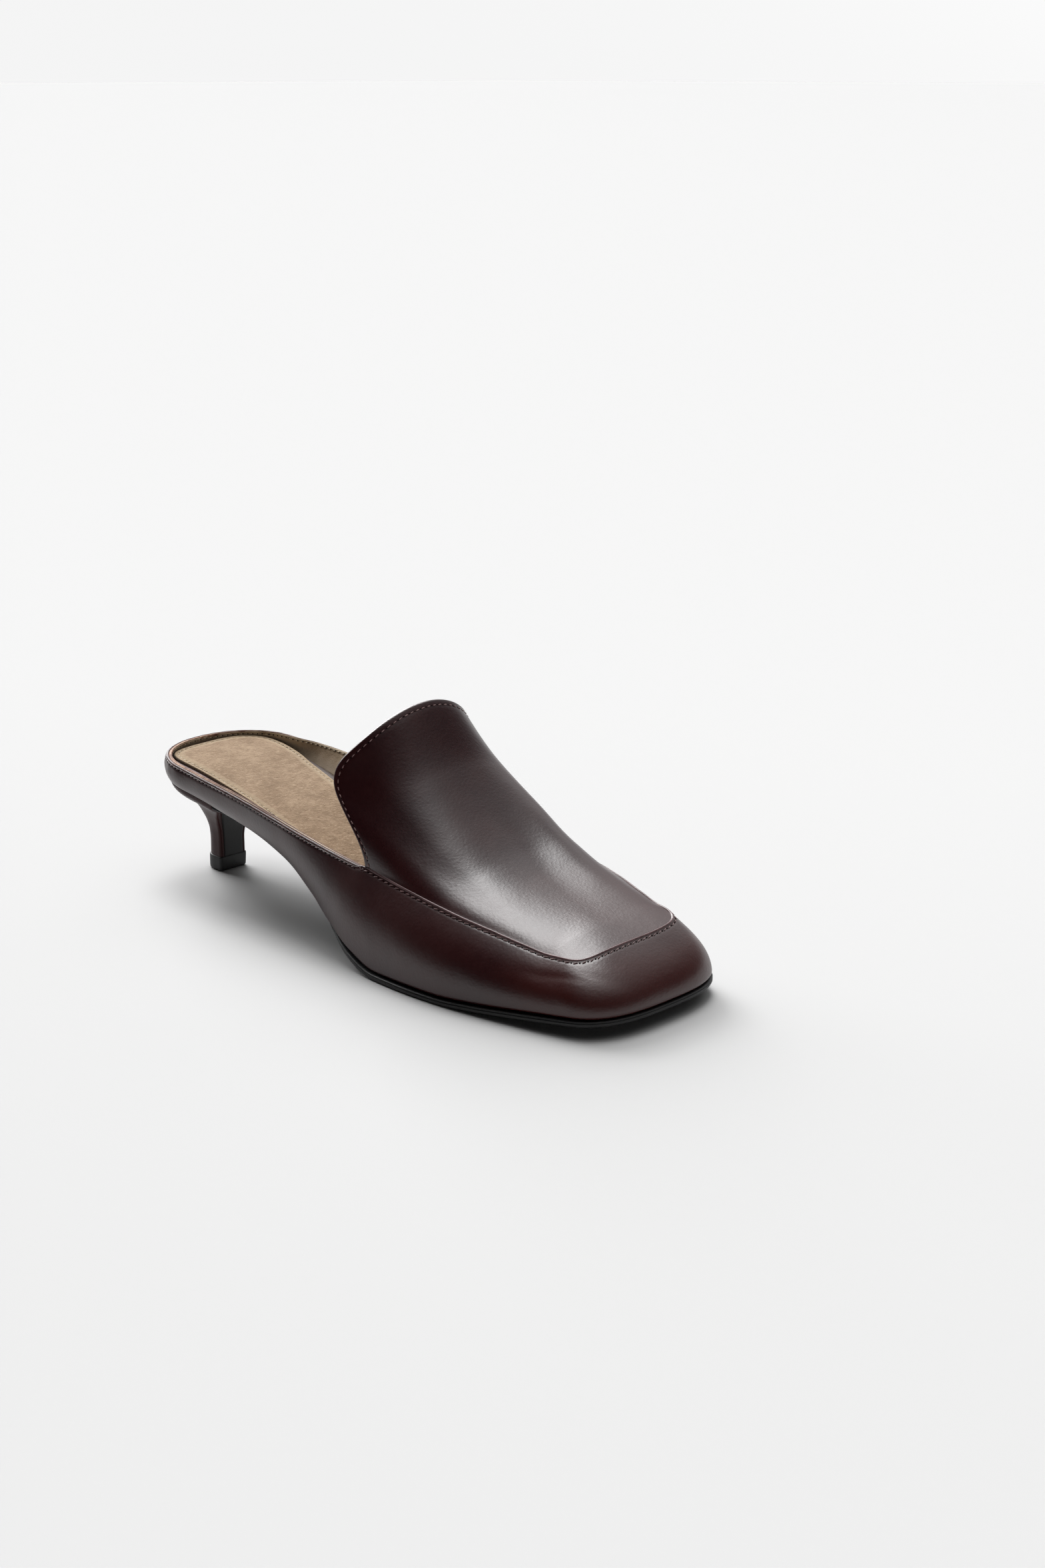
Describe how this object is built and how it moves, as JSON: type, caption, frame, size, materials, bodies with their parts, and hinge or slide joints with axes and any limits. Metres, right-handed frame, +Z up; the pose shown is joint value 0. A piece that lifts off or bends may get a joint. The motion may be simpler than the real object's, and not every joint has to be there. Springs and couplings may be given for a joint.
{
  "type": "heeled loafer",
  "caption": "Backless smooth leather loafer for the right foot, with a square toe, a seamed apron, a suede sock and a low slim heel.",
  "frame": {"origin": "on the floor, under the middle of the shoe's bounding box", "axes": "+X towards the toe, +Y towards the wearer's left, which is the inner side of this right shoe, +Z up"},
  "size_m": [0.2478, 0.0864, 0.0873],
  "materials": {
    "upper_leather": "smooth polished calf with a fine grain",
    "insole_cover": "smooth matte leather",
    "sock_suede": "taupe suede nap",
    "sole_rubber": "matte black",
    "heel_cover": "smooth polished calf, matte black on the breast",
    "tip_rubber": "matte black"
  },
  "bodies": {
    "root": {"upper": "upper_leather", "insole": "insole_cover", "sock": "sock_suede", "outsole": "sole_rubber", "heel": "heel_cover", "heel_tip": "tip_rubber"}
  },
  "joints": []
}
